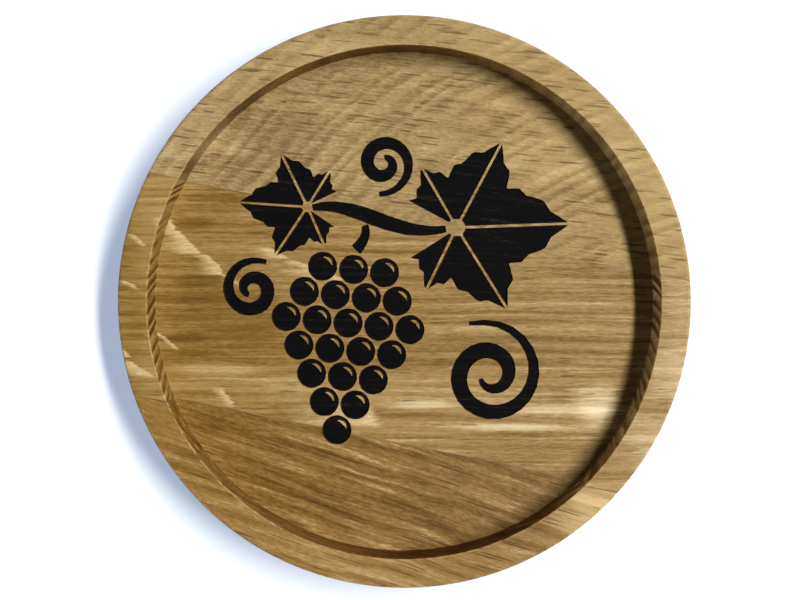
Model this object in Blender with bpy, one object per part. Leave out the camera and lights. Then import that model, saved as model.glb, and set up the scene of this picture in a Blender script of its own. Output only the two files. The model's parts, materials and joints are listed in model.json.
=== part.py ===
"""Round oak drinks coaster: three staves glued edge to edge, then milled as one panel into a dished disc.

Metres, +Z up. The origin is the centre of the underside, and the grain runs along X.
"""

import math

import bmesh
import bpy

# Sizes of the milled disc
DIAMETER = 0.100
HEIGHT = 0.010
RIM_WIDTH = 0.0052
RECESS_DEPTH = 0.0055

# Edges left by the cutters and by sanding
TOP_EDGE_RADIUS = 0.0006
BASE_EDGE_RADIUS = 0.0010
RECESS_EDGE_RADIUS = 0.00015
RECESS_FOOT_RADIUS = 0.00035

# The glued panel: where the back joint lies, the middle stave's width, and the glue between two staves
BACK_JOINT_Y = 0.0137
MIDDLE_STAVE_WIDTH = 0.0387
GLUE_THICKNESS = 0.0002
GLUE_CLEARANCE = 0.00005

# How far the sawn planks reach past the disc before milling
SAWING_ALLOWANCE = 0.004

ROUND_STEPS = 160
ARC_STEPS = 5

OAK_BACK = (0.40, 0.22, 0.085)
OAK_MIDDLE = (0.44, 0.25, 0.10)
OAK_FRONT = (0.33, 0.18, 0.07)
DRIED_GLUE = (0.20, 0.11, 0.045)


def clear_scene():
    for item in list(bpy.data.objects):
        bpy.data.objects.remove(item)


def material(name, colour, roughness):
    made = bpy.data.materials.new(name)
    made.use_nodes = True
    shader = made.node_tree.nodes["Principled BSDF"]
    shader.inputs["Base Color"].default_value = (*colour, 1.0)
    shader.inputs["Roughness"].default_value = roughness
    return made


def arc(centre_r, centre_z, radius, start_deg, end_deg):
    """Points (r, z) along a rounded edge or corner of the milled section."""
    points = []
    for step in range(ARC_STEPS + 1):
        angle = math.radians(start_deg + (end_deg - start_deg) * step / ARC_STEPS)
        points.append((centre_r + radius * math.cos(angle), centre_z + radius * math.sin(angle)))
    return points


def milled_section():
    """Half of the disc's section, from the middle of the recess floor out over the rim to the middle of the underside."""
    outer = DIAMETER / 2
    wall = outer - RIM_WIDTH
    floor = HEIGHT - RECESS_DEPTH
    foot = arc(wall - RECESS_FOOT_RADIUS, floor + RECESS_FOOT_RADIUS, RECESS_FOOT_RADIUS, 270, 360)
    mouth = arc(wall + RECESS_EDGE_RADIUS, HEIGHT - RECESS_EDGE_RADIUS, RECESS_EDGE_RADIUS, 180, 90)
    top_edge = arc(outer - TOP_EDGE_RADIUS, HEIGHT - TOP_EDGE_RADIUS, TOP_EDGE_RADIUS, 90, 0)
    base_edge = arc(outer - BASE_EDGE_RADIUS, BASE_EDGE_RADIUS, BASE_EDGE_RADIUS, 0, -90)
    return floor, foot + mouth + top_edge + base_edge


def milled_disc():
    """The dished disc as one body, hidden: each piece of the panel is cut to this envelope."""
    floor, section = milled_section()
    mesh = bmesh.new()
    rings = []
    for radius, height in section:
        ring = []
        for step in range(ROUND_STEPS):
            angle = 2 * math.pi * step / ROUND_STEPS
            ring.append(mesh.verts.new((radius * math.cos(angle), radius * math.sin(angle), height)))
        rings.append(ring)
    for inner, outer in zip(rings, rings[1:]):
        for step in range(ROUND_STEPS):
            after = (step + 1) % ROUND_STEPS
            mesh.faces.new((inner[step], outer[step], outer[after], inner[after]))
    mesh.faces.new(rings[0])
    mesh.faces.new(reversed(rings[-1]))
    for face in mesh.faces:
        face.smooth = True
    data = bpy.data.meshes.new("milled_disc")
    mesh.to_mesh(data)
    mesh.free()
    data.set_sharp_from_angle(angle=math.radians(30))
    disc = bpy.data.objects.new("milled_disc", data)
    disc.hide_render = True
    disc.display_type = "WIRE"
    bpy.context.scene.collection.objects.link(disc)
    return disc


def panel_piece(name, low_y, high_y, disc, surface):
    """One strip of the panel, sawn as a plank from low_y to high_y and milled to the disc's envelope."""
    reach = DIAMETER / 2 + SAWING_ALLOWANCE
    mesh = bmesh.new()
    bmesh.ops.create_cube(mesh, size=1.0)
    bmesh.ops.scale(mesh, vec=(2 * reach, high_y - low_y, HEIGHT + 2 * SAWING_ALLOWANCE), verts=mesh.verts)
    bmesh.ops.translate(mesh, vec=(0.0, (low_y + high_y) / 2, HEIGHT / 2), verts=mesh.verts)
    data = bpy.data.meshes.new(name)
    mesh.to_mesh(data)
    mesh.free()
    data.materials.append(surface)
    piece = bpy.data.objects.new(name, data)
    bpy.context.scene.collection.objects.link(piece)
    milling = piece.modifiers.new("milling", "BOOLEAN")
    milling.operation = "INTERSECT"
    milling.solver = "EXACT"
    milling.object = disc
    return piece


def build():
    clear_scene()
    disc = milled_disc()
    front_joint = BACK_JOINT_Y - MIDDLE_STAVE_WIDTH
    half_film = GLUE_THICKNESS / 2
    half_gap = half_film + GLUE_CLEARANCE
    edge = DIAMETER / 2 + SAWING_ALLOWANCE
    glue = material("dried_wood_glue", DRIED_GLUE, 0.6)
    panel_piece("stave_back", BACK_JOINT_Y + half_gap, edge, disc, material("oak_back", OAK_BACK, 0.65))
    panel_piece(
        "stave_middle",
        front_joint + half_gap,
        BACK_JOINT_Y - half_gap,
        disc,
        material("oak_middle", OAK_MIDDLE, 0.65),
    )
    panel_piece("stave_front", -edge, front_joint - half_gap, disc, material("oak_front", OAK_FRONT, 0.65))
    panel_piece("glue_line_back", BACK_JOINT_Y - half_film, BACK_JOINT_Y + half_film, disc, glue)
    panel_piece("glue_line_front", front_joint - half_film, front_joint + half_film, disc, glue)


build()
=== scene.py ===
# %% [markdown]
# A round oak coaster, seen from above. It was made like a small table top: staves were glued edge to edge,
# and the panel was then milled into a dished disc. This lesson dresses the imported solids: it cuts finer
# staves, burns a decoration into the recess floor, and grows oak grain through each stave with shader
# nodes.

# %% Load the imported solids
import json
import math

import bmesh
import bpy
from mathutils import Matrix, Vector, geometry, noise


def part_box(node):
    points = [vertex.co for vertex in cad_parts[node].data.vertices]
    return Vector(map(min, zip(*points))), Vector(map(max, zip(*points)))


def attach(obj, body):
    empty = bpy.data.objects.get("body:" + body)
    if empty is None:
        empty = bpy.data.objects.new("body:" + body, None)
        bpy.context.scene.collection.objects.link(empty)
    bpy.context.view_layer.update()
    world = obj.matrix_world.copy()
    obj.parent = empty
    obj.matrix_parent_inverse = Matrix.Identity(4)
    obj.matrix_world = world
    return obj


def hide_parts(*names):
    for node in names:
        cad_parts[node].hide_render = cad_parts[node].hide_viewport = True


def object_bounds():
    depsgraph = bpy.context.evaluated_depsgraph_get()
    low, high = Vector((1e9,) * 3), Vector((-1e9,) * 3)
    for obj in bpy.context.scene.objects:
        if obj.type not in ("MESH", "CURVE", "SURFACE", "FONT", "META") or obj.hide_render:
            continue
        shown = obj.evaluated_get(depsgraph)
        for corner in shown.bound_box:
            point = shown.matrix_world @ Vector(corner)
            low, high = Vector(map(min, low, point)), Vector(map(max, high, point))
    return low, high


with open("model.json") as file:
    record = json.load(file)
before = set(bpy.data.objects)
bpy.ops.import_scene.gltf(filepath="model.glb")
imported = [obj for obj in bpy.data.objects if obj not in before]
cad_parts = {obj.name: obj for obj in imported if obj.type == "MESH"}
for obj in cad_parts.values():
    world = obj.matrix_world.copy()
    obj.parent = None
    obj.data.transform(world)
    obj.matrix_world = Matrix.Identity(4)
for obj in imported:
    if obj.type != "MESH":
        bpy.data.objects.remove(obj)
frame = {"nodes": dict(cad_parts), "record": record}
solids_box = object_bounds()
scene = bpy.context.scene
scene.view_settings.view_transform = "Standard"
print("solids:", sorted(frame["nodes"]), "from", solids_box[0][:], "to", solids_box[1][:])

# %% [markdown]
# The dressed staves sit exactly where the solids are, so the main sizes are read from the solids. The width
# of the rim and the small edge radii have no box or mount to be read from, and are repeated here. The
# corner at the foot of the recess wall is sharper than in the solids, because no rounding shows there.

# %% Sizes read from the solids
MM = 0.001
RIM_WIDTH = 5.2 * MM
TOP_EDGE = 0.6 * MM
BASE_EDGE = 1.0 * MM
MOUTH_EDGE = 0.15 * MM
WALL_FOOT = 0.12 * MM

RADIUS = solids_box[1].x
HEIGHT = solids_box[1].z
WALL_RADIUS = RADIUS - RIM_WIDTH
FLOOR_Z = next(m for m in frame["record"]["mounts"] if m["name"] == "recess_floor")["pos_m"][2]

glue_back_low, glue_back_high = (corner.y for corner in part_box("glue_line_back"))
glue_front_low, glue_front_high = (corner.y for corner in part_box("glue_line_front"))
print("back joint at", round((glue_back_low + glue_back_high) / 2 / MM, 2), "mm,",
      "front joint at", round((glue_front_low + glue_front_high) / 2 / MM, 2), "mm")

# %% [markdown]
# The milling cutter left one turned shape across all the staves. A profile with a Screw modifier would give
# it. Here the points of its section are worked out, because then each rounded edge is a short arc of known
# radius, which catches the light as the sanded wood does.

# %% Half of the turned section
ARC_STEPS = 7
FLAT_MARGIN = 0.2 * MM


def arc(centre_r, centre_z, radius, start_deg, end_deg):
    """Points (r, z) along a rounded edge."""
    angles = [math.radians(start_deg + (end_deg - start_deg) * i / ARC_STEPS) for i in range(ARC_STEPS + 1)]
    return [(centre_r + radius * math.cos(a), centre_z + radius * math.sin(a)) for a in angles]


def flat_run(start, end):
    """Two points close to the ends of a flat stretch, which keep its shading flat beside rounded edges."""
    start, end = Vector(start), Vector(end)
    step = (end - start).normalized() * FLAT_MARGIN
    return [(start + step)[:], (end - step)[:]]


def turned_section():
    """The section from the foot of the recess wall, over the rim, to the underside."""
    foot = arc(WALL_RADIUS - WALL_FOOT, FLOOR_Z + WALL_FOOT, WALL_FOOT, 270, 360)
    mouth = arc(WALL_RADIUS + MOUTH_EDGE, HEIGHT - MOUTH_EDGE, MOUTH_EDGE, 180, 90)
    top = arc(RADIUS - TOP_EDGE, HEIGHT - TOP_EDGE, TOP_EDGE, 90, 0)
    base = arc(RADIUS - BASE_EDGE, BASE_EDGE, BASE_EDGE, 0, -90)
    section = flat_run((0.0, FLOOR_Z), foot[0])[1:] + foot
    for edge in (mouth, top, base):
        section += flat_run(section[-1], edge[0]) + edge
    return section + flat_run(section[-1], (0.0, 0.0))[:1]


print("section:", len(turned_section()), "points")

# %% [markdown]
# The section is swept round the axis, as on a lathe. The disc that this gives is only a tool, to which each
# stave is cut further down.

# %% The turned envelope
ROUND_STEPS = 288


def mesh_object(name, mesh):
    """A mesh object from a bmesh, linked to the scene."""
    data = bpy.data.meshes.new(name)
    mesh.to_mesh(data)
    mesh.free()
    made = bpy.data.objects.new(name, data)
    scene.collection.objects.link(made)
    return made


def add_circle(mesh, radius, height, steps):
    """A circle of new points round the axis."""
    turns = [2 * math.pi * i / steps for i in range(steps)]
    return [mesh.verts.new((radius * math.cos(t), radius * math.sin(t), height)) for t in turns]


def bridge(mesh, first, second):
    """Faces between two closed loops with the same number of points."""
    for i in range(len(first)):
        j = (i + 1) % len(first)
        mesh.faces.new((first[i], second[i], second[j], first[j]))


def turned_disc():
    """The section swept round the axis and closed by the recess floor and the underside."""
    mesh = bmesh.new()
    rings = [add_circle(mesh, radius, height, ROUND_STEPS) for radius, height in turned_section()]
    for inner, outer in zip(rings, rings[1:]):
        bridge(mesh, inner, outer)
    mesh.faces.new(rings[0])
    mesh.faces.new(reversed(rings[-1]))
    for face in mesh.faces:
        face.smooth = True
    return mesh_object("turned_disc", mesh)


disc = turned_disc()
print("turned disc:", len(disc.data.vertices), "points")

# %% [markdown]
# A laser burnt the decoration into the floor, as shallow pockets with charred bottoms. It is a plain vine
# sprig: a bunch of grapes, two leaves and some tendrils. Each shape is an outline made by a formula, in
# millimetres and upright in the picture. One function turns it onto the coaster, whose joints run along X.
# Another moves its points a little, because a burnt line is never quite clean.

# %% From the drawing to the floor
PHOTO_TURN = math.radians(11.3)
LINE_ROUGHNESS = 0.07
WAVES_PER_MM = (0.8, 2.5)
SECOND_WAVE = Vector((0.0, 0.0, 9.0))


def to_floor(point):
    """A point of the drawing, in mm with v up the picture, as metres on the coaster."""
    return Matrix.Rotation(PHOTO_TURN, 2) @ Vector(point) * MM


def roughened(points):
    """The points of an outline, each moved a little, as charring creeps along the grain."""
    moved = []
    for u, v in points:
        spot = Vector((u * WAVES_PER_MM[0], v * WAVES_PER_MM[1], 0.0))
        aside = LINE_ROUGHNESS * noise.noise(spot)
        upward = LINE_ROUGHNESS * noise.noise(spot + SECOND_WAVE)
        moved.append((u + aside, v + upward))
    return moved


print("the drawing is turned by", round(math.degrees(PHOTO_TURN), 1), "degrees")

# %% [markdown]
# A grape in black alone looks flat, so a crescent near its upper right edge stays bare, like a glint. The
# bunch is rows of grapes, packed as balls pack. Every shape is kept as a function of how far its outline
# grows, because a pocket is a little wider at its lip than at its bottom.

# %% Grapes with a bare glint on each
GRAPE_RADIUS = 2.55
GRAPE_PITCH = 5.6
GRAPE_ROWS = (3, 4, 5, 4, 3, 2, 1)
BUNCH_TOP = (-9.0, 6.0)
BUNCH_TILT = math.radians(-6)
GLINT_RADIUS = 0.66 * GRAPE_RADIUS
GLINT_START_DEG = 5
GLINT_SWEEP_DEG = 80
GLINT_END_WIDTH = 0.24
GLINT_BULGE = 0.45
GLINT_STEPS = 10
CIRCLE_STEPS = 40


def grape_centres():
    """Grapes packed in rows, swung a little to one side."""
    for row, count in enumerate(GRAPE_ROWS):
        for place in range(count):
            u = (place - (count - 1) / 2) * GRAPE_PITCH
            v = -row * GRAPE_PITCH * math.sqrt(3) / 2
            yield Vector(BUNCH_TOP) + Matrix.Rotation(BUNCH_TILT, 2) @ Vector((u, v))


def round_point(centre, radius, angle):
    """A point of the drawing at an angle on a circle."""
    return Vector(centre) + radius * Vector((math.cos(angle), math.sin(angle)))


def circle_outline(centre, radius):
    """A circle of the drawing."""
    return [round_point(centre, radius, 2 * math.pi * i / CIRCLE_STEPS) for i in range(CIRCLE_STEPS)]


def glint(centre, grow):
    """A crescent near the grape's upper right edge."""
    outer, inner = [], []
    for i in range(GLINT_STEPS + 1):
        share = i / GLINT_STEPS
        angle = math.radians(GLINT_START_DEG + GLINT_SWEEP_DEG * share)
        thick = (GLINT_BULGE * math.sin(math.pi * share) + GLINT_END_WIDTH) / 2 + grow
        for side, radius in ((outer, GLINT_RADIUS + thick), (inner, GLINT_RADIUS - thick)):
            side.append(round_point(centre, radius, angle))
    return outer + inner[::-1]


def grapes():
    """Each grape as its outline and its bare places."""
    return [(lambda grow, c=c: circle_outline(c, GRAPE_RADIUS + grow), [lambda grow, c=c: glint(c, -grow)])
            for c in grape_centres()]


print("grapes:", len(grapes()))

# %% [markdown]
# The cane, the stalk and the tendrils are brush strokes: a path, and a width that changes along it. A curve
# object with a taper would draw them too, but as outlines they are cut like all the other shapes. The cane
# and the stalk follow Bezier curves, and the tendrils are spirals that tighten.

# %% Brush strokes for the cane, the stalk and the tendrils
STROKE_STEPS = 40
SLOPE_STEP = 0.01
SPIRAL_POWER = 0.8
SWELL_POWER = 0.9
CANE = [(-16.4, 17.1), (-8.0, 18.6), (-2.0, 11.4), (7.6, 13.3)]
CANE_WIDTHS = (1.0, 2.5)
STALK = [(-7.0, 13.9), (-6.4, 12.4), (-7.2, 11.0), (-8.6, 9.5)]
STALK_WIDTHS = (1.1, 2.0)
# a tendril: middle, first and last radius, start in degrees, turns, least and greatest width
TENDRILS = (
    ((15.5, -13.0), 10.0, 1.7, 112, -1.75, 0.6, 2.8),
    ((-3.6, 25.0), 5.6, 1.0, 262, 1.5, 0.7, 2.2),
    ((-27.3, 2.4), 5.6, 1.1, 62, 1.5, 0.7, 2.3),
)


def bezier(points, share):
    """A point on the curve that the control points pull."""
    points = [Vector(point) for point in points]
    while len(points) > 1:
        points = [a.lerp(b, share) for a, b in zip(points, points[1:])]
    return points[0]


def spiral(centre, first_radius, last_radius, start_deg, turns):
    """A tendril's path: a spiral that tightens."""
    def path(share):
        angle = math.radians(start_deg) + 2 * math.pi * turns * share
        radius = first_radius + (last_radius - first_radius) * share ** SPIRAL_POWER
        return round_point(centre, radius, angle)
    return path


def swelling(thin, thick):
    """A brush width that starts thin, swells to the middle and ends thin."""
    return lambda share: thin + (thick - thin) * math.sin(math.pi * share) ** SWELL_POWER


def stroke(path, width, grow):
    """The outline of a brush stroke. path and width are functions of the share of the way along it."""
    left, right = [], []
    for i in range(STROKE_STEPS + 1):
        share = i / STROKE_STEPS
        slope = path(min(share + SLOPE_STEP, 1.0)) - path(max(share - SLOPE_STEP, 0.0))
        across = slope.orthogonal().normalized() * (width(share) / 2 + grow)
        left.append(path(share) + across)
        right.append(path(share) - across)
    return right + left[::-1]


def strokes():
    """Each stroke as its outline, without bare places."""
    thin, thick = STALK_WIDTHS
    paths = [
        (lambda share: bezier(CANE, share), swelling(*CANE_WIDTHS)),
        (lambda share: bezier(STALK, share), lambda share: thin + (thick - thin) * share),
    ]
    paths += [(spiral(*tendril[:5]), swelling(*tendril[5:])) for tendril in TENDRILS]
    return [(lambda grow, p=p, w=w: stroke(p, w, grow), []) for p, w in paths]


print("brush strokes:", len(strokes()))

# %% [markdown]
# A vine leaf has a lobe on each of its veins and small teeth along its edge. How far the edge reaches is a
# formula of the angle, so both leaves use it at their own size. The veins stay bare: each leaf is a fan of
# panels, with a gap between them for each vein.

# %% Lobed leaves, split by their bare veins
# a leaf: where its stalk ends, the direction of its middle vein in degrees, and its length
LEAVES = (((9.5, 13.5), 2.0, 19.0), ((-17.3, 17.2), 176.0, 11.5))
VEIN_DEGS = (-118, -60, 0, 60, 118)
VEIN_SHARES = (0.60, 0.84, 1.0, 0.84, 0.60)
VEIN_GAP = 0.6
STALK_NOTCH_DEG = 150
STALK_NOTCH_SHARE = 0.09
LOBE_DROP = 0.36
LOBE_HALF_DEG = 30.0
LOBE_LIMIT = 1.6
LOBE_POWER = 0.85
TOOTH_SHARE = 0.05
TOOTH_DEG = 15.0
LEAF_STEPS = 32


def leaf_reach(deg):
    """How far the edge lies from the stalk, as a share of the length: a lobe on each vein, and teeth."""
    lobes = [share * (1.0 - LOBE_DROP * min(abs(deg - vein) / LOBE_HALF_DEG, LOBE_LIMIT) ** LOBE_POWER)
             for vein, share in zip(VEIN_DEGS, VEIN_SHARES)]
    return max(lobes) + TOOTH_SHARE * abs((deg / TOOTH_DEG) % 1.0 * 2 - 1)


def leaf_point(leaf, deg, reach, aside):
    """A point at an angle from the leaf's middle vein, moved sideways off that ray."""
    base, axis = leaf[:2]
    return Vector(base) + Matrix.Rotation(math.radians(axis + deg), 2) @ Vector((reach, aside))


def leaf_panel(leaf, start, end, grow):
    """The part of the leaf between two veins."""
    length = leaf[2]
    gap = VEIN_GAP / 2 - grow
    near = STALK_NOTCH_SHARE * length - grow
    points = [leaf_point(leaf, start, near, gap)]
    for i in range(LEAF_STEPS + 1):
        deg = start + (end - start) * i / LEAF_STEPS
        aside = gap * (1 - 2 * i / LEAF_STEPS)
        points.append(leaf_point(leaf, deg, length * leaf_reach(deg) + grow, aside))
    points.append(leaf_point(leaf, end, near, -gap))
    return points


def leaves():
    """Each panel of the leaves as its outline, without bare places."""
    edges = (-STALK_NOTCH_DEG, *VEIN_DEGS, STALK_NOTCH_DEG)
    return [(lambda grow, leaf=leaf, a=a, b=b: leaf_panel(leaf, a, b, grow), [])
            for leaf in LEAVES for a, b in zip(edges, edges[1:])]


print("leaf panels:", len(leaves()))

# %% [markdown]
# A burnt pocket has sloping sides, because the beam rounds its lip. So each outline is swept down from a
# wide loop at the floor to a narrow one at the bottom, and starts a little above the floor to make a clean
# cut. All pockets go into one mesh, so that one Boolean cuts them all.

# %% The cutter for all the pockets
POCKET_DEPTH = 0.3 * MM
CUTTER_RISE = 0.5 * MM
LIP_GROWTH = 0.09


def add_pocket(mesh, outline, holes):
    """One closed cutter: loops above the floor, at the floor and at the bottom, capped at both ends."""
    levels = (
        (FLOOR_Z + CUTTER_RISE, LIP_GROWTH),
        (FLOOR_Z, LIP_GROWTH),
        (FLOOR_Z - POCKET_DEPTH, -LIP_GROWTH),
    )
    caps = []
    rings = []
    for height, grow in levels:
        loops = [roughened(shape(grow)) for shape in (outline, *holes)]
        flat = [[to_floor(point).to_3d() for point in loop] for loop in loops]
        caps.append(flat)
        rings.append([[mesh.verts.new((p.x, p.y, height)) for p in loop] for loop in flat])
    for upper, lower in zip(rings, rings[1:]):
        for above, below in zip(upper, lower):
            bridge(mesh, above, below)
    for level in (0, -1):
        corners = [vert for loop in rings[level] for vert in loop]
        for triangle in geometry.tessellate_polygon(caps[level]):
            mesh.faces.new([corners[i] for i in triangle])


def pocket_cutter():
    """The cutters of all the shapes as one mesh."""
    mesh = bmesh.new()
    for outline, holes in grapes() + strokes() + leaves():
        add_pocket(mesh, outline, holes)
    bmesh.ops.recalc_face_normals(mesh, faces=mesh.faces)
    return mesh_object("pocket_cutter", mesh)


cutter = pocket_cutter()
print("pocket cutter:", len(cutter.data.polygons), "faces")

# %% [markdown]
# Each strip of the panel starts as a sawn plank, which is a plain box. It is cut to the turned shape, and
# then the pockets are cut from it. Boolean modifiers do both, and their result is kept as a plain mesh.
# Each piece rides on the part's only body and stands for one of its solids.

# %% Cut the strips of the panel
PLANK_SPARE = 10 * MM
SIDE_SPARE = 4 * MM
SHARP_ANGLE = math.radians(30)
FLOOR_TOLERANCE = 0.01 * MM
SLOPE_NORMAL_Z = 0.2
LEVEL_NORMAL_Z = 0.99
SURFACES = ("oiled", "charred", "scorched")


def add_boolean(piece, operation, other):
    """A Boolean modifier that keeps the exact solver."""
    step = piece.modifiers.new(operation, "BOOLEAN")
    step.operation = operation
    step.solver = "EXACT"
    step.object = other


def mark_pockets(mesh):
    """The charred surface for the bottoms of the pockets and the scorched one for their slopes."""
    for face in mesh.polygons:
        depth = FLOOR_Z - face.center.z
        if FLOOR_TOLERANCE < depth < 2 * POCKET_DEPTH and face.normal.z > SLOPE_NORMAL_Z:
            surface = "charred" if face.normal.z > LEVEL_NORMAL_Z else "scorched"
            face.material_index = SURFACES.index(surface)


def panel_strip(name, low_y, high_y, node_name):
    """One strip of the panel, from low_y to high_y, in place of one solid."""
    mesh = bmesh.new()
    bmesh.ops.create_cube(mesh, size=1.0)
    size = (2 * RADIUS + PLANK_SPARE, high_y - low_y, HEIGHT + PLANK_SPARE)
    bmesh.ops.scale(mesh, vec=size, verts=mesh.verts)
    bmesh.ops.translate(mesh, vec=(0, (low_y + high_y) / 2, HEIGHT / 2), verts=mesh.verts)
    piece = mesh_object(name, mesh)
    add_boolean(piece, "INTERSECT", disc)
    add_boolean(piece, "DIFFERENCE", cutter)
    shaped = bpy.data.meshes.new_from_object(piece.evaluated_get(bpy.context.evaluated_depsgraph_get()))
    piece.modifiers.clear()
    piece.data = shaped
    shaped.name = name
    shaped.set_sharp_from_angle(angle=SHARP_ANGLE)
    shaped.materials.clear()
    for _ in SURFACES:
        shaped.materials.append(None)
    mark_pockets(shaped)
    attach(piece, "root")
    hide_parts(node_name)
    print(name, len(shaped.polygons), "faces")
    return piece


edge = RADIUS + SIDE_SPARE
back = panel_strip("oak_stave_back", glue_back_high, edge, "stave_back")
middle = panel_strip("oak_stave_middle", glue_front_high, glue_back_low, "stave_middle")
front = panel_strip("oak_stave_front", -edge, glue_front_low, "stave_front")
glue_back = panel_strip("glue_seam_back", glue_back_low, glue_back_high, "glue_line_back")
glue_front = panel_strip("glue_seam_front", glue_front_low, glue_front_high, "glue_line_front")
for tool in (disc, cutter):
    bpy.data.objects.remove(tool)

# %% [markdown]
# Colours are written as they look on a screen. Blender works in linear light, so one function converts
# them. A second one adds a shader node with its settings and its links, which keeps the materials below
# short enough to read.


# %% Colours and nodes
def linear(hex_colour):
    """An sRGB hex colour as linear red, green, blue and alpha."""
    parts = [int(hex_colour[i:i + 2], 16) / 255 for i in (1, 3, 5)]
    return (*[p / 12.92 if p <= 0.04045 else ((p + 0.055) / 1.055) ** 2.4 for p in parts], 1.0)


def add(tree, kind, inputs=None, out=0, stops=(), **settings):
    """Add a shader node and return an output. Inputs are values or sockets, stops hex colours or levels."""
    made = tree.nodes.new("ShaderNode" + kind)
    for name, value in settings.items():
        setattr(made, name, value)
    for name, value in (inputs or {}).items():
        if isinstance(value, bpy.types.NodeSocket):
            tree.links.new(value, made.inputs[name])
        else:
            made.inputs[name].default_value = value
    for number, (position, colour) in enumerate(stops):
        elements = made.color_ramp.elements
        element = elements[number] if number < len(elements) else elements.new(position)
        element.position = position
        element.color = linear(colour) if isinstance(colour, str) else (colour,) * 4
    return made.outputs[out]


def new_surface(name):
    """A material with a Principled shader wired to its output."""
    made = bpy.data.materials.new(name)
    made.use_nodes = True
    return made, made.node_tree, made.node_tree.nodes["Principled BSDF"]


print("the screen's middle grey is", round(linear("#808080")[0], 3), "in linear light")

# %% [markdown]
# Oak shows year rings, long pores cut open as dark dashes, fine fibres, and on a quarter-sawn face the pale
# flecks of its rays. All of these run through the wood, so they are patterns in space: then the wall of the
# recess shows the end grain of the same rings as the rim above it. Each stave is its own cut through such a
# pattern. Sizes are in millimetres along the grain, across it and up. A depth is a share of the range of
# tones, and a lean is a change for each millimetre along the grain. Real fibres and vessels are too fine
# for a picture of the whole coaster, so they are drawn coarser.

# %% The cut of each stave
# the lean of the painted shade on the recess wall is in degrees, added to the turn of the grain
CUTS = {
    "back": {
        "turn": 4.8, "wander": 1.6, "wall_shade_lean": 9.0,
        "heart": (75.7, -54.8, 6.0), "heart_stretch": (1.0, 1.0, 1.6),
        "ring_width": 2.8, "ring_depth": 0.13, "end_ring_depth": 0.2,
        "band_size": (26, 3.0, 3.0), "band_depth": 0.55,
        "stripe_size": (9, 0.6, 0.6), "stripe_depth": 0.45,
        "silk_size": (1.1, 0.30, 0.30), "silk_depth": 0.85, "detail_lean": -0.006,
        "pore_size": (8.5, 0.60, 0.60), "pore_depth": 0.72,
        "pore_share": 0.88, "pore_spread": 0.8, "pore_lean": 0.004,
        "tones": ("#5c4524", "#907649", "#b39a69", "#ead6a6"),
        "colour_strength": 1.02, "colour_lean": 0.001,
    },
    "middle": {
        "turn": 11.3, "wander": 1.3, "wall_shade_lean": 0.0,
        "heart": (0.0, -375.0, -137.0), "heart_stretch": (1000.0, 1.0, 1.0),
        "ring_width": 2.1, "ring_depth": 0.10, "end_ring_depth": 0.48,
        "band_size": (36, 1.7, 1.7), "band_depth": 0.40,
        "stripe_size": (24, 0.5, 0.8), "stripe_depth": 0.68,
        "silk_size": (1.5, 0.28, 0.28), "silk_depth": 0.62, "detail_lean": 0.003,
        "pore_size": (5.5, 0.45, 0.45), "pore_depth": 0.6,
        "pore_share": 0.28, "pore_spread": 0.8, "pore_lean": 0.002,
        "tones": ("#553b04", "#836328", "#ab8d57", "#f9e6ba"),
        "colour_strength": 0.99, "colour_lean": -0.0007,
    },
    "front": {
        "turn": -6.5, "wander": 2.4, "wall_shade_lean": 27.0,
        "heart": (0.0, -8.0, -24.0), "heart_stretch": (14.0, 1.0, 1.0),
        "ring_width": 2.0, "ring_depth": 0.17, "end_ring_depth": 0.40,
        "band_size": (24, 2.2, 2.2), "band_depth": 0.8,
        "stripe_size": (13, 0.55, 0.55), "stripe_depth": 0.75,
        "silk_size": (1.2, 0.30, 0.30), "silk_depth": 0.85, "detail_lean": 0.0,
        "pore_size": (15.0, 0.56, 0.56), "pore_depth": 0.85,
        "pore_share": 0.75, "pore_spread": 0.2, "pore_lean": 0.007,
        "tones": ("#4a3002", "#775720", "#9a7944", "#f1d499"),
        "colour_strength": 1.01, "colour_lean": -0.001,
    },
}
for key, cut in CUTS.items():
    print(key, "stave: grain turned by", cut["turn"], "degrees, rings", cut["ring_width"], "mm wide")

# %% [markdown]
# Wood is never even, and most of its patterns start as soft noise drawn out along the grain. The place that
# the noise is read at is turned to the grain of the stave and counted in millimetres. A slow second noise
# moves it to the sides, which lets the fibres wander as they grew.

# %% Noise and places in the grain
NOISE_ROUGHNESS = 0.65
NOISE_MIDDLE = 0.5
WANDER_SIZE = (34, 12, 12)


def grainy(tree, place, size, detail=2.0, out=0):
    """Soft noise drawn out to the given size in mm."""
    scaled = add(tree, "VectorMath", {0: place, 1: [1 / length for length in size]}, operation="MULTIPLY")
    return add(tree, "TexNoise", {
        "Vector": scaled, "Scale": 1.0, "Detail": detail, "Roughness": NOISE_ROUGHNESS,
    }, out=out)


def shifted(tree, place, pattern, amount):
    """The place, moved by a colour noise of up to the given amount in mm."""
    centred = add(tree, "VectorMath", {0: pattern, 1: (NOISE_MIDDLE,) * 3}, operation="SUBTRACT")
    return add(tree, "VectorMath", {0: centred, 1: amount, 2: place}, operation="MULTIPLY_ADD")


def grain_place(tree, cut):
    """The place in mm along the grain, across it and up: as sawn, and with the wander of grown fibres."""
    place = add(tree, "TexCoord", out="Object")
    along = add(tree, "Mapping", {
        "Vector": place, "Rotation": (0, 0, -math.radians(cut["turn"])), "Scale": (1 / MM,) * 3,
    })
    wander = grainy(tree, along, WANDER_SIZE, out=1)
    return along, shifted(tree, along, wander, (0.0, cut["wander"], cut["wander"]))


print("fibres wander by up to", max(cut["wander"] for cut in CUTS.values()) / 2, "mm to each side")

# %% [markdown]
# A tree adds a ring each year: open wood in spring, dense wood after it. In space a ring is a shell round
# the heart of the tree. So the distance from the heart, counted in ring widths, gives the year, and its
# fraction gives the season. Stretching space along the grain turns round shells into long ones, which a saw
# cuts into arches or lines. Noise makes good and bad years.

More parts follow.
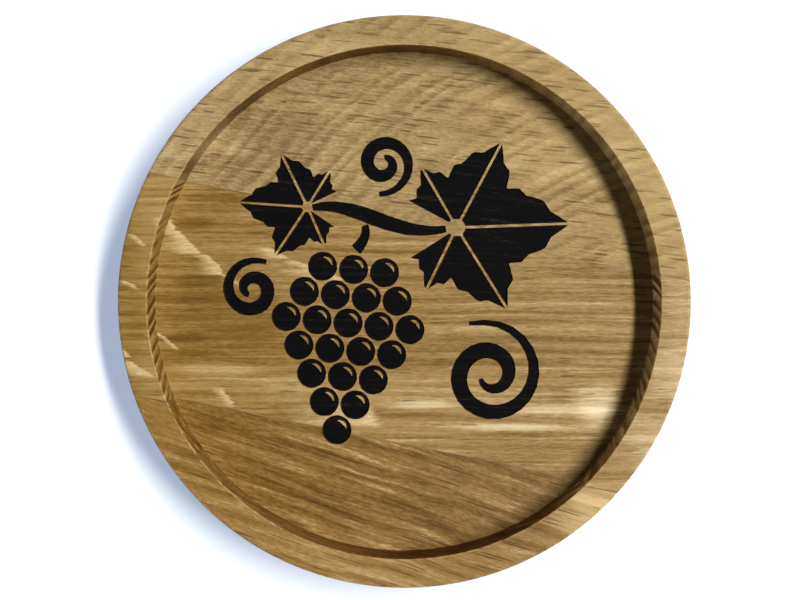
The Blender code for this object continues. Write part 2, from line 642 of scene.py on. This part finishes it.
# %% Year rings
# the openness of the wood through one year
SEASONS = ((0.0, 0.9), (0.18, 1.0), (0.5, 0.25), (0.85, 0.0), (1.0, 0.9))
GROWTH_CHANGES_PER_YEAR = 0.4
GROWTH_CHANGE = 1.6
RING_WAVE_SIZE = (30, 9, 9)
RING_WAVE = 0.8
MEAN_OPENNESS = 0.4
CLEAR_PATCH_SIZE = (20, 8, 8)
CLEAR_PATCH_RANGE = (0.35, 0.65)
CLEAR_PATCH_DEPTH = 2.0


def weighted_sum(tree, start, parts, middle_value=0.0):
    """start plus each pattern, counted from its middle value, times its weight."""
    total = start
    for value, weight in parts:
        moved = add(tree, "Math", {0: value, 1: middle_value}, operation="SUBTRACT")
        total = add(tree, "Math", {0: moved, 1: weight, 2: total}, operation="MULTIPLY_ADD")
    return total


def early_wood(tree, place, cut):
    """1 in the open wood that starts each year, falling to 0 in the dense wood that ends it."""
    to_heart = add(tree, "Mapping", {
        "Vector": place, "Location": cut["heart"], "Scale": cut["heart_stretch"],
    }, vector_type="TEXTURE")
    from_heart = add(tree, "VectorMath", {0: to_heart}, out="Value", operation="LENGTH")
    age = add(tree, "Math", {0: from_heart, 1: 1 / cut["ring_width"]}, operation="MULTIPLY")
    changes = {"W": age, "Scale": GROWTH_CHANGES_PER_YEAR, "Detail": 1.0}
    growth = add(tree, "TexNoise", changes, noise_dimensions="1D")
    years = weighted_sum(tree, age, (
        (growth, GROWTH_CHANGE),
        (grainy(tree, place, RING_WAVE_SIZE, 0.0), RING_WAVE),
    ), NOISE_MIDDLE)
    season = add(tree, "Math", {0: years}, operation="FRACT")
    return add(tree, "ValToRGB", {0: season}, stops=SEASONS)


def year_rings(tree, place, cut, early, ends):
    """The tone of the rings: early wood is darker, more so on end grain and in some places."""
    depth = add(tree, "Math", {
        0: ends, 1: cut["end_ring_depth"], 2: cut["ring_depth"],
    }, operation="MULTIPLY_ADD")
    late = add(tree, "Math", {0: MEAN_OPENNESS, 1: early}, operation="SUBTRACT")
    clear = add(tree, "MapRange", {
        "Value": grainy(tree, place, CLEAR_PATCH_SIZE), "From Min": CLEAR_PATCH_RANGE[0],
        "From Max": CLEAR_PATCH_RANGE[1], "To Max": CLEAR_PATCH_DEPTH,
    })
    tone = add(tree, "Math", {0: late, 1: depth}, operation="MULTIPLY")
    return add(tree, "Math", {0: tone, 1: clear}, operation="MULTIPLY")


print("seasons in a ring:", len(SEASONS))

# %% [markdown]
# The vessels of oak are wide tubes along the fibres, and sawn open they show as dark dashes. Voronoi cells
# drawn out along the grain are scattered like them: the core of a cell is a dash, and the colour that each
# cell gets by chance decides whether it is kept and how dark it is. More are kept in the early wood.

# %% Open pores
PORE_OUTSIDE = 0.31
PORE_INSIDE = 0.25
FAINTEST_PORE = 0.45
PORE_SHARES_IN_ALL = 1.2


def open_pores(tree, place, cut, early):
    """1 inside the cut-open vessels, more of them in the early wood and towards one end of the stave."""
    scale = [1 / length for length in cut["pore_size"]]
    scaled = add(tree, "VectorMath", {0: place, 1: scale}, operation="MULTIPLY")
    distance = add(tree, "TexVoronoi", {"Vector": scaled, "Scale": 1.0, "Randomness": 1.0}, out="Distance")
    dash = add(tree, "MapRange", {
        "Value": distance, "From Min": PORE_OUTSIDE, "From Max": PORE_INSIDE,
    }, interpolation_type="SMOOTHSTEP")
    chance = add(tree, "SeparateColor", {0: distance.node.outputs["Color"]})
    everywhere = cut["pore_spread"] * cut["pore_share"]
    in_early_wood = (PORE_SHARES_IN_ALL - cut["pore_spread"]) * cut["pore_share"]
    share = add(tree, "Math", {0: early, 1: in_early_wood, 2: everywhere}, operation="MULTIPLY_ADD")
    from_middle = add(tree, "SeparateXYZ", {0: place})
    leaning = add(tree, "Math", {0: from_middle, 1: cut["pore_lean"], 2: share}, operation="MULTIPLY_ADD")
    kept = add(tree, "Math", {0: chance, 1: leaning}, operation="LESS_THAN")
    darkness = add(tree, "MapRange", {"Value": chance.node.outputs[1], "To Min": FAINTEST_PORE})
    dark = add(tree, "Math", {0: dash, 1: darkness}, operation="MULTIPLY")
    return add(tree, "Math", {0: dark, 1: kept}, operation="MULTIPLY")


print("pore lengths:", [round(2 * PORE_INSIDE * cut["pore_size"][0], 1) for cut in CUTS.values()], "mm")

# %% [markdown]
# On the quarter-sawn middle stave the rays are cut almost along their own plane, so they lie open as pale
# silky flecks. Noise alone would scatter them, so their places are listed one by one. Each has a sharp
# slanting edge on the right and fades to the left, between two fibres that cut it off above and below.
# Noise tears its edges along the fibres.

# %% Ray flecks, in mm along and across the grain
# a fleck: top, bottom, sharp edge at the top and at the bottom, and the length over which it fades
FLECKS = (
    (15.0, 13.0, -41.6, -40.7, 2.6), (13.0, 10.9, -40.2, -38.2, 3.6), (10.9, 8.8, -38.2, -36.0, 6.0),
    (8.6, 6.8, -35.1, -32.9, 3.2), (6.8, 5.1, -32.9, -32.1, 4.6), (5.1, 2.7, -32.3, -28.2, 1.3),
    (9.9, 7.9, -23.6, -20.4, 5.0), (7.5, 6.0, -19.3, -14.8, 3.4), (6.0, 4.1, -15.2, -9.0, 9.0),
    (-5.5, -8.4, -43.8, -40.3, 1.4), (-15.4, -18.6, -32.6, -30.2, 2.4), (-18.6, -22.3, -5.4, -3.4, 17.0),
    (12.1, 10.1, -46.9, -44.6, 1.6), (4.0, 2.5, -48.3, -45.7, 1.5), (-7.8, -9.3, -49.0, -47.2, 5.0),
    (-10.0, -12.8, -47.6, -43.2, 5.0),
)
FLECK_EDGE = 0.5
FLECK_EDGE_SHARES = (0.1, 0.4)
FLECK_FADE = (0.45, 0.7)
FLECK_CUT_OFF = (1.2, 0.8)
FLECK_TEAR_SIZE = (4, 0.35, 2.0)
FLECK_TEAR = (1.8, 0.35, 0.0)


def measured(tree, place, direction, start):
    """The distance of a place along a direction in the plane of the grain, counted from a start."""
    length = add(tree, "VectorMath", {0: place, 1: (*direction, 0.0)}, out="Value", operation="DOT_PRODUCT")
    return add(tree, "Math", {0: length, 1: start}, operation="SUBTRACT")


def ray_flecks(tree, along):
    """1 at the sharp edges of the flecks, falling to 0 where they fade."""
    torn = shifted(tree, along, grainy(tree, along, FLECK_TEAR_SIZE, 1.0, out=1), FLECK_TEAR)
    total = 0.0
    for top, bottom, edge_top, edge_bottom, length in FLECKS:
        lean = (edge_top - edge_bottom) / (top - bottom)
        behind = measured(tree, torn, (-1 / length, lean / length), (lean * bottom - edge_bottom) / length)
        rise = min(max(FLECK_EDGE / length, FLECK_EDGE_SHARES[0]), FLECK_EDGE_SHARES[1])
        levels = ((0.0, 0.0), (rise, 1.0), FLECK_FADE, (1.0, 0.0))
        sheen = add(tree, "ValToRGB", {0: behind}, stops=levels)
        offset = measured(tree, torn, (0.0, 2 / (top - bottom)), (top + bottom) / (top - bottom))
        off_middle = add(tree, "Math", {0: offset}, operation="ABSOLUTE")
        between = add(tree, "MapRange", {
            "Value": off_middle, "From Min": FLECK_CUT_OFF[0], "From Max": FLECK_CUT_OFF[1],
        })
        total = add(tree, "Math", {0: sheen, 1: between, 2: total}, operation="MULTIPLY_ADD")
    return add(tree, "Math", {0: total, 1: 1.0}, operation="MINIMUM")


print("flecks:", len(FLECKS))

# %% [markdown]
# Some zones of a stave are paler or darker than the rest, where the saw met other rings. Two long strips on
# the middle stave are painted light instead: darker along the left rim, paler along the right rim. Noise
# alone would put the zones anywhere, so they are listed ellipses, with soft ends that noise tears.

# %% Cloudy zones and painted light, in mm along and across the grain
# a zone: its middle, its half length, its half width and its change of tone
TONE_ZONES_AND_LIGHT = {
    "back": (
        (-8.0, 47.5, 18.0, 3.5, -0.10), (30.0, 26.0, 16.0, 12.0, 0.11), (30.0, 21.6, 12.0, 5.0, -0.16),
        (-25.5, 29.6, 11.0, 6.5, -0.15), (39.0, 28.2, 4.5, 6.0, -0.06), (-31.0, 22.5, 7.0, 5.0, -0.10),
    ),
    "middle": (
        (-39.0, -6.5, 5.0, 1.2, -0.14), (-38.6, -9.0, 6.0, 0.8, -0.14), (-37.7, 4.0, 5.5, 1.5, -0.17),
        (-38.2, 14.2, 4.5, 1.4, -0.18), (-38.2, 0.2, 6.0, 0.7, -0.10), (-34.0, -12.0, 9.0, 1.6, 0.24),
        (-4.0, -15.5, 34.0, 3.4, 0.14), (18.0, -21.8, 28.0, 4.0, 0.12), (35.0, -18.3, 5.0, 4.5, 0.34),
        (4.0, -18.4, 8.0, 0.9, 0.30), (29.0, -19.3, 11.0, 1.0, 0.26), (20.0, -22.4, 11.0, 0.8, 0.28),
        (20.0, -23.8, 14.0, 0.6, -0.20), (2.0, -20.4, 8.0, 0.7, -0.16), (-34.0, -3.0, 14.0, 10.0, -0.14),
        # painted light: the first strip darkens the left rim, the second lightens the right rim
        (-48.5, 0.0, 4.0, 26.0, -0.13), (50.0, -3.0, 4.2, 24.0, 0.08), (43.6, -24.9, 5.5, 5.5, 0.16),
        (46.3, -12.3, 4.5, 5.0, 0.16), (-33.0, 18.0, 6.0, 3.0, -0.12),
    ),
    "front": (
        (45.0, -24.0, 11.0, 9.0, 0.34), (14.5, -45.6, 24.0, 2.8, 0.12), (-20.0, -20.0, 16.0, 5.0, -0.08),
        (-27.0, -29.0, 9.0, 5.0, -0.10), (-4.0, -40.0, 12.0, 3.0, -0.09), (20.0, -35.5, 9.0, 2.6, -0.08),
    ),
}
CLOUD_OUTSIDE = 1.25
CLOUD_INSIDE = 0.35
CLOUD_TEAR_SIZE = (14, 0.8, 2.0)
CLOUD_TEAR = (8.0, 1.2, 0.0)


def tone_zones_and_light(tree, along, zones):
    """The change of tone in the zones: most from the wood, and two strips of painted light."""
    torn = shifted(tree, along, grainy(tree, along, CLOUD_TEAR_SIZE, out=1), CLOUD_TEAR)
    total = 0.0
    for u, v, length, width, change in zones:
        local = add(tree, "VectorMath", {0: torn, 1: (-u, -v, 0.0)}, operation="ADD")
        scaled = add(tree, "VectorMath", {0: local, 1: (1 / length, 1 / width, 0.0)}, operation="MULTIPLY")
        reach = add(tree, "VectorMath", {0: scaled}, out="Value", operation="LENGTH")
        inside = add(tree, "MapRange", {
            "Value": reach, "From Min": CLOUD_OUTSIDE, "From Max": CLOUD_INSIDE,
        }, interpolation_type="SMOOTHSTEP")
        total = add(tree, "Math", {0: inside, 1: change, 2: total}, operation="MULTIPLY_ADD")
    return total


print("clouds:", {key: len(zones) for key, zones in TONE_ZONES_AND_LIGHT.items()})

# %% [markdown]
# Where a surface cuts across the fibres their open ends drink more oil and turn darker. The direction of
# the surface tells where that is. Parts of the recess wall also get painted shade, darker and browner, most
# where the wall runs along the fibres.

# %% End grain, the rim and the painted shade on the recess wall
RIM_BLEND_MM = (1.0, 0.1)
WALL_SPARE_MM = 0.5
# painted shade on the recess wall: how closely it keeps to where the wall runs along the fibres
WALL_SHADE_POWER = 4.0


def end_grain(tree, degrees):
    """1 where the surface cuts across fibres that run in a direction, 0 where it runs along them."""
    normal = add(tree, "TexCoord", out="Normal")
    turn = math.radians(degrees)
    fibre = (math.cos(turn), math.sin(turn), 0.0)
    facing = add(tree, "VectorMath", {0: normal, 1: fibre}, out="Value", operation="DOT_PRODUCT")
    return add(tree, "Math", {0: facing, 1: facing}, operation="MULTIPLY")


def from_axis(tree, along):
    """The distance from the middle of the coaster in mm."""
    flat = add(tree, "VectorMath", {0: along, 1: (1.0, 1.0, 0.0)}, operation="MULTIPLY")
    return add(tree, "VectorMath", {0: flat}, out="Value", operation="LENGTH")


def rim_top(tree, along):
    """1 on top of the rim, falling to 0 a little below it."""
    height = add(tree, "SeparateXYZ", {0: along}, out=2)
    start, end = (HEIGHT / MM - below for below in RIM_BLEND_MM)
    return add(tree, "MapRange", {"Value": height, "From Min": start, "From Max": end})


def painted_wall_shade(tree, cut, radius):
    """1 on the recess wall where painted shade darkens it, most where the wall runs along the fibres."""
    normal = add(tree, "TexCoord", out="Normal")
    upward = add(tree, "Math", {0: add(tree, "SeparateXYZ", {0: normal}, out=2)}, operation="ABSOLUTE")
    crossed = end_grain(tree, cut["turn"] + cut["wall_shade_lean"])
    covered = add(tree, "Math", {0: upward, 1: crossed}, operation="ADD")
    open_share = add(tree, "Math", {0: 1.0, 1: covered}, operation="SUBTRACT", use_clamp=True)
    inside = add(tree, "Math", {0: radius, 1: WALL_RADIUS / MM + WALL_SPARE_MM}, operation="LESS_THAN")
    shade_share = add(tree, "Math", {0: open_share, 1: WALL_SHADE_POWER}, operation="POWER")
    return add(tree, "Math", {0: shade_share, 1: inside}, operation="MULTIPLY")


print("recess wall at", round(WALL_RADIUS / MM, 2), "mm from the axis")

# %% [markdown]
# Hands and cups rub the two sharp edges of the rim bare. On the outer edge the pale band is also painted
# light, which lifts the shade where the rounded edge turns away from the lamps. A whole bright line round
# each edge would look drawn, so noise breaks it up and the wear shows only here and there.

# %% Edge wear, with painted light on the outer edge
MOUTH_WEAR_WIDTH = 0.2
OUTER_WEAR_AND_LIGHT_WIDTH = 0.6
OUTER_WEAR_AND_LIGHT_START = 0.1
WEAR_PATCH_SIZE = (1.6, 1.0, 1.0)
WEAR_PATCH_RANGE = (0.42, 0.66)


def wear_and_light_edges(tree, along, radius, on_rim):
    """1 for wear at the recess edge and the outer edge, with painted light on the outer one, broken up."""
    at_mouth = add(tree, "Math", {0: radius, 1: WALL_RADIUS / MM, 2: MOUTH_WEAR_WIDTH}, operation="COMPARE")
    at_outside = add(tree, "MapRange", {
        "Value": radius,
        "From Min": RADIUS / MM - OUTER_WEAR_AND_LIGHT_WIDTH, "From Max": RADIUS / MM - OUTER_WEAR_AND_LIGHT_START,
    })
    either = add(tree, "Math", {0: at_mouth, 1: at_outside}, operation="MAXIMUM")
    patchy = add(tree, "MapRange", {
        "Value": grainy(tree, along, WEAR_PATCH_SIZE),
        "From Min": WEAR_PATCH_RANGE[0], "From Max": WEAR_PATCH_RANGE[1],
    })
    broken = add(tree, "Math", {0: either, 1: patchy}, operation="MULTIPLY")
    return add(tree, "Math", {0: broken, 1: on_rim}, operation="MULTIPLY")


print("worn edges:", MOUTH_WEAR_WIDTH, "and", OUTER_WEAR_AND_LIGHT_WIDTH, "mm wide")

# %% [markdown]
# All the patterns meet in one number, the tone of the wood. Bands, stripes and silky fibres make it lively,
# less so on the sanded rim and in pale zones. The top of the rim gets painted light, paler than the floor
# of the recess, and parts of the recess wall get painted shade. A colour ramp turns the tone into the
# browns of the stave.

# %% Tone and colour of the wood
FINE_DETAIL = 3.0
MIDDLE_TONE = 0.52
TONE_TOP = 1.2
TONE_STOPS = (0.05 / TONE_TOP, 0.38 / TONE_TOP, 0.66 / TONE_TOP, 1.0)
# painted light: the top of the rim is made paler than the floor of the recess, which lies in shade
RIM_PAINTED_LIGHT = 0.08
RIM_SMOOTHING = 0.30
PALE_SMOOTHING = 1.4
END_DARKNESS = 0.08
# painted shade on the recess wall
WALL_SHADE_DARKNESS = 0.3


def fibres(tree, place, cut, silk):
    """The tone of the streaks, from coarse bands to fine silk."""
    return weighted_sum(tree, 0.0, (
        (grainy(tree, place, cut["band_size"]), cut["band_depth"]),
        (grainy(tree, place, cut["stripe_size"], FINE_DETAIL), cut["stripe_depth"]),
        (silk, cut["silk_depth"]),
    ), NOISE_MIDDLE)


def wood_tone(tree, cut, from_middle, on_rim, ends, wall_shade, zone_and_light_tone, rings, streaks):
    """The tone of the wood from its patterns, 0 for the darkest and TONE_TOP for the palest."""
    pale = add(tree, "Math", {0: zone_and_light_tone, 1: 0.0}, operation="MAXIMUM")
    contrast = weighted_sum(tree, 1.0, (
        (from_middle, cut["detail_lean"]),
        (on_rim, -RIM_SMOOTHING),
        (pale, -PALE_SMOOTHING),
    ))
    return weighted_sum(tree, MIDDLE_TONE, (
        (rings, 1.0),
        (add(tree, "Math", {0: streaks, 1: contrast}, operation="MULTIPLY"), 1.0),
        # painted light on top of the rim
        (on_rim, RIM_PAINTED_LIGHT),
        (ends, -END_DARKNESS),
        # painted shade on the recess wall
        (wall_shade, -WALL_SHADE_DARKNESS),
        (zone_and_light_tone, 1.0),
    ))


def wood_colour(tree, cut, from_middle, tone):
    """The brown of a tone, a little stronger or weaker along the stave."""
    shade = add(tree, "Math", {0: tone, 1: TONE_TOP}, operation="DIVIDE")
    colour = add(tree, "ValToRGB", {0: shade}, stops=zip(TONE_STOPS, cut["tones"]))
    strength = weighted_sum(tree, cut["colour_strength"], ((from_middle, cut["colour_lean"]),))
    return add(tree, "HueSaturation", {"Color": colour, "Saturation": strength})


print("tones from 0 to", TONE_TOP, "around", MIDDLE_TONE)

# %% [markdown]
# Sanded oak with a thin matt oil has a soft shine, and its open pores catch a little shade. The material
# starts from the tone, lays painted shade on the recess wall, pores, flecks, and edge wear with painted
# light over it, and takes its fine relief from the fibres and pores.

# %% Oiled, sanded oak
# the brown of the painted shade on the recess wall
WALL_SHADE_TINT = "#ecc274"
PORE_COLOUR = "#573a10"
FLECK_COLOURS = ((0.3, "#c0a269"), (0.7, "#ead6a6"))
FLECK_FACING = (0.1, 0.6)
FLECK_STRENGTHS = (0.92, 0.15)
# edge wear, and on the outer edge painted light that lifts the shade of the rounded edge
WEAR_AND_LIGHT_COLOUR = "#d8b077"
WEAR_AND_LIGHT_STRENGTH = 0.6
RELIEF_STRENGTH = 0.5
RELIEF_DEPTH = 0.06 * MM
ROUGHNESS_RANGE = (0.72, 0.5)
WEAR_POLISH = 0.12
OIL_SHINE = 0.3


def fleck_layer(tree, along, ends, silk):
    """How much and in which colour the flecks cover the wood: less where a surface cuts across them."""
    cream = add(tree, "ValToRGB", {0: silk}, stops=FLECK_COLOURS)
    lying_open = add(tree, "MapRange", {
        "Value": ends, "From Min": FLECK_FACING[0], "From Max": FLECK_FACING[1],
        "To Min": FLECK_STRENGTHS[0], "To Max": FLECK_STRENGTHS[1],
    })
    amount = add(tree, "Math", {0: ray_flecks(tree, along), 1: lying_open}, operation="MULTIPLY")
    return amount, cream


def oiled_oak(name, cut, zones, has_flecks):
    """Sanded oak with a thin matt oil: soft shine, with open pores that catch a little shade."""
    made, tree, shader = new_surface(name)
    along, place = grain_place(tree, cut)
    from_middle = add(tree, "SeparateXYZ", {0: along})
    radius = from_axis(tree, along)
    on_rim = rim_top(tree, along)
    ends = end_grain(tree, cut["turn"])
    wall_shade = painted_wall_shade(tree, cut, radius)
    early = early_wood(tree, place, cut)
    pores = open_pores(tree, place, cut, early)
    silk = grainy(tree, place, cut["silk_size"], FINE_DETAIL)
    rings = year_rings(tree, place, cut, early, ends)
    streaks = fibres(tree, place, cut, silk)
    zone_and_light_tone = tone_zones_and_light(tree, along, zones)
    wear_and_light = wear_and_light_edges(tree, along, radius, on_rim)

    tone = wood_tone(tree, cut, from_middle, on_rim, ends, wall_shade, zone_and_light_tone, rings, streaks)
    colour = wood_colour(tree, cut, from_middle, tone)
    dark = add(tree, "Math", {0: pores, 1: cut["pore_depth"]}, operation="MULTIPLY")
    # edge wear, and painted light on the outer edge
    bare = add(tree, "Math", {0: wear_and_light, 1: WEAR_AND_LIGHT_STRENGTH}, operation="MULTIPLY")
    # painted shade browns the recess wall, then pores, flecks and edge wear are laid over
    layers = [(wall_shade, linear(WALL_SHADE_TINT), "MULTIPLY"), (dark, linear(PORE_COLOUR), "MIX")]
    if has_flecks:
        layers.append((*fleck_layer(tree, along, ends, silk), "MIX"))
    layers.append((bare, linear(WEAR_AND_LIGHT_COLOUR), "MIX"))
    for amount, shade, blend in layers:
        inputs = {0: amount, 6: colour, 7: shade}
        colour = add(tree, "Mix", inputs, out=2, data_type="RGBA", blend_type=blend)
    tree.links.new(colour, shader.inputs["Base Color"])

    relief = add(tree, "Math", {0: silk, 1: pores}, operation="SUBTRACT")
    bump = add(tree, "Bump", {"Strength": RELIEF_STRENGTH, "Distance": RELIEF_DEPTH, "Height": relief})
    tree.links.new(bump, shader.inputs["Normal"])
    dull, silky = ROUGHNESS_RANGE
    rough = add(tree, "MapRange", {"Value": silk, "To Min": dull, "To Max": silky})
    rough = add(tree, "Math", {0: wear_and_light, 1: -WEAR_POLISH, 2: rough}, operation="MULTIPLY_ADD")
    tree.links.new(rough, shader.inputs["Roughness"])
    shader.inputs["Specular IOR Level"].default_value = OIL_SHINE
    return made


staves = {"back": back, "middle": middle, "front": front}
for key, piece in staves.items():
    wood = oiled_oak(f"oiled_oak_{key}", CUTS[key], TONE_ZONES_AND_LIGHT[key], key == "middle")
    piece.data.materials[SURFACES.index("oiled")] = wood
    print(wood.name, len(wood.node_tree.nodes), "nodes")

# %% [markdown]
# A laser turns the wood to charcoal at the bottom of a pocket and scorches the slopes. Charcoal is matt and
# almost black, and the fibres of the same stave still show in it, because the hard ones char less.

# %% Burnt oak
CHAR = ((0.3, "#030306"), (0.58, "#0a090b"), (0.9, "#33261a"))
SCORCH = ((0.3, "#1c1006"), (0.6, "#2e1c0a"), (0.85, "#543c18"))
BURNT_TONE = 0.40
BURNT_STRIPES = 1.4
BURNT_FIBRES = 1.0


def burnt_oak(name, cut, shades):
    """Oak burnt by a laser: matt, with brown streaks where hard fibres charred less."""
    made, tree, shader = new_surface(name)
    place = grain_place(tree, cut)[1]
    tone = weighted_sum(tree, BURNT_TONE, (
        (grainy(tree, place, cut["stripe_size"], FINE_DETAIL), BURNT_STRIPES),
        (grainy(tree, place, cut["silk_size"], FINE_DETAIL), BURNT_FIBRES),
    ), NOISE_MIDDLE)
    colour = add(tree, "ValToRGB", {0: tone}, stops=shades)
    tree.links.new(colour, shader.inputs["Base Color"])
    shader.inputs["Roughness"].default_value = 0.8
    shader.inputs["Specular IOR Level"].default_value = 0.1
    return made


for key, piece in staves.items():
    for surface, shades in (("charred", CHAR), ("scorched", SCORCH)):
        burnt = burnt_oak(f"{surface}_oak_{key}", CUTS[key], shades)
        piece.data.materials[SURFACES.index(surface)] = burnt
        print(burnt.name, len(burnt.node_tree.nodes), "nodes")

# %% [markdown]
# Wood glue dries clear and hard. Sanded flush, it takes up dust and oil and shows as a fine brown line.
# Noise keeps that line from looking ruled. Where a pocket crosses it, it is burnt like the wood.

# %% Dried glue
GLUE_SPOT_SIZE = 6.25 * MM
GLUE_COLOURS = ((0.35, "#6a4f27"), (0.65, "#96794a"))


def dried_glue():
    """Wood glue that was sanded flush: a soft gloss under dust and oil."""
    made, tree, shader = new_surface("sanded_wood_glue")
    place = add(tree, "TexCoord", out="Object")
    spots = add(tree, "TexNoise", {"Vector": place, "Scale": 1 / GLUE_SPOT_SIZE, "Detail": 2.0})
    colour = add(tree, "ValToRGB", {0: spots}, stops=GLUE_COLOURS)
    tree.links.new(colour, shader.inputs["Base Color"])
    shader.inputs["Roughness"].default_value = 0.5
    return made


glue = dried_glue()
for piece in (glue_back, glue_front):
    piece.data.materials[SURFACES.index("oiled")] = glue
    for surface in ("charred", "scorched"):
        piece.data.materials[SURFACES.index(surface)] = bpy.data.materials[f"{surface}_oak_middle"]
print(glue.name, len(glue.node_tree.nodes), "nodes")

# %% [markdown]
# The coaster lies on a white table. A bare white board comes out grey where the lamps are weak. So for the
# camera alone it glows: near the coaster just so much that the shadow stays, and far away up to white. It
# is open under the coaster and clear from below, so that the underside can be looked at too.

# %% White table
TABLE_RADIUS = 3.0
TABLE_HOLE_RADIUS = RADIUS - BASE_EDGE
TABLE_STEPS = 96
BOARD_COLOUR = "#d8d8d8"
# the glow at a distance in metres from the middle
TABLE_GLOW = ((0.13, "#97a7c1"), (0.5, "#ffffff"))


def white_table():
    """Matt white board: it takes the shadow, and for the camera it glows a little, up to white."""
    made, tree, shader = new_surface("white_table_board")
    shader.inputs["Base Color"].default_value = linear(BOARD_COLOUR)
    shader.inputs["Roughness"].default_value = 0.9
    shader.inputs["Specular IOR Level"].default_value = 0.0
    place = add(tree, "TexCoord", out="Object")
    away = add(tree, "VectorMath", {0: place}, out="Value", operation="LENGTH")
    glow = add(tree, "ValToRGB", {0: away}, stops=TABLE_GLOW)
    seen = add(tree, "LightPath", out="Is Camera Ray")
    lift = add(tree, "Emission", {"Color": glow, "Strength": seen})
    board = add(tree, "AddShader", {0: shader.outputs[0], 1: lift})
    from_below = add(tree, "NewGeometry", out="Backfacing")
    clear = add(tree, "Math", {0: seen, 1: from_below}, operation="MULTIPLY")
    surface = add(tree, "MixShader", {0: clear, 1: board, 2: add(tree, "BsdfTransparent")})
    tree.links.new(surface, tree.nodes["Material Output"].inputs["Surface"])
    return made


mesh = bmesh.new()
bridge(mesh, *(add_circle(mesh, radius, 0.0, TABLE_STEPS) for radius in (TABLE_HOLE_RADIUS, TABLE_RADIUS)))
table = mesh_object("table_top", mesh)
table.data.materials.append(white_table())
print("table:", TABLE_RADIUS, "m round the coaster")

# %% [markdown]
# The light comes from a long level window on the right. A long area lamp gives a shadow that is sharp
# straight behind the coaster and soft to both sides, on the table and in the recess alike. A weak low lamp
# opposite lifts the shaded wall.

# %% Light
WINDOW = {
    "azimuth": math.radians(5.2) + PHOTO_TURN, "away": 0.95, "height": 1.36, "aside": 0.19,
    "size": (1.15, 0.17), "power": 37.3, "colour": "#fffcf6",
}
FILL = {
    "azimuth": math.radians(210) + PHOTO_TURN, "away": 0.9, "height": 0.13, "aside": 0.0,
    "size": (0.5, 0.1), "power": 2.2, "colour": "#fafaff",
}


def add_lamp(name, azimuth, away, height, aside, size, power, colour):
    """A level oblong lamp: away from the coaster in a direction, moved aside along its own length."""
    data = bpy.data.lights.new(name, "AREA")
    data.shape = "RECTANGLE"
    data.size, data.size_y = size
    data.energy = power
    data.color = linear(colour)[:3]
    made = bpy.data.objects.new(name, data)
    along = Vector((-math.sin(azimuth), math.cos(azimuth), 0.0)) * aside
    made.location = along + Vector((away * math.cos(azimuth), away * math.sin(azimuth), height))
    made.rotation_euler = (along - made.location).to_track_quat("-Z", "Y").to_euler()
    scene.collection.objects.link(made)
    print(name, "at", [round(part, 2) for part in made.location], "with", power, "W")


add_lamp("window", **WINDOW)
add_lamp("fill", **FILL)

# %% [markdown]
# Above the table the sky is dark, so that only the lamps light the wood and the shadows stay deep. Below
# the table it is bright, for the underside. The camera itself sees it white everywhere.

# %% Sky
SKY_ABOVE = 0.03
SKY_BELOW = 0.9
HORIZON_BLEND = 0.02

world = bpy.data.worlds.new("pale_sky")
scene.world = world
world.use_nodes = True
sky_tree = world.node_tree
upward = add(sky_tree, "SeparateXYZ", {0: add(sky_tree, "TexCoord", out="Generated")}, out=2)
light = add(sky_tree, "MapRange", {
    "Value": upward, "From Min": -HORIZON_BLEND, "From Max": 0.0, "To Min": SKY_BELOW, "To Max": SKY_ABOVE,
})
seen = add(sky_tree, "LightPath", out="Is Camera Ray")
strength = add(sky_tree, "Math", {0: light, 1: seen}, operation="MAXIMUM")
sky_tree.links.new(strength, sky_tree.nodes["Background"].inputs["Strength"])
sky_tree.nodes["Background"].inputs["Color"].default_value = linear("#ffffff")
print("sky:", len(sky_tree.nodes), "nodes")

# %% [markdown]
# The camera hangs almost straight above, a few millimetres towards the back, and is turned so that the
# staves slope as they do in the picture. The lens is worked out from the size that the coaster has in a
# picture 800 pixels wide.

# %% Camera
CAMERA_HEIGHT = 165 * MM
CAMERA_ASIDE = (1.5, 5.0)
PICTURE_CENTRE = (-0.57, 0.66)
PICTURE_WIDTH = 800
PIXELS_PER_MM = 5.75
SENSOR_WIDTH = 36.0

camera_data = bpy.data.cameras.new("camera")
camera_data.sensor_width = SENSOR_WIDTH
camera_data.lens = SENSOR_WIDTH * PIXELS_PER_MM * CAMERA_HEIGHT / MM / PICTURE_WIDTH
camera = bpy.data.objects.new("camera", camera_data)
camera.location = (*to_floor(CAMERA_ASIDE), HEIGHT + CAMERA_HEIGHT)
target = Vector((*to_floor(PICTURE_CENTRE), HEIGHT))
forward = (target - camera.location).normalized()
picture_up = to_floor((0.0, 1.0)).to_3d().normalized()
right = forward.cross(picture_up).normalized()
up = right.cross(forward)
camera.rotation_euler = Matrix((right, up, -forward)).transposed().to_euler()
scene.collection.objects.link(camera)
scene.camera = camera
print("lens", round(camera_data.lens, 1), "mm")
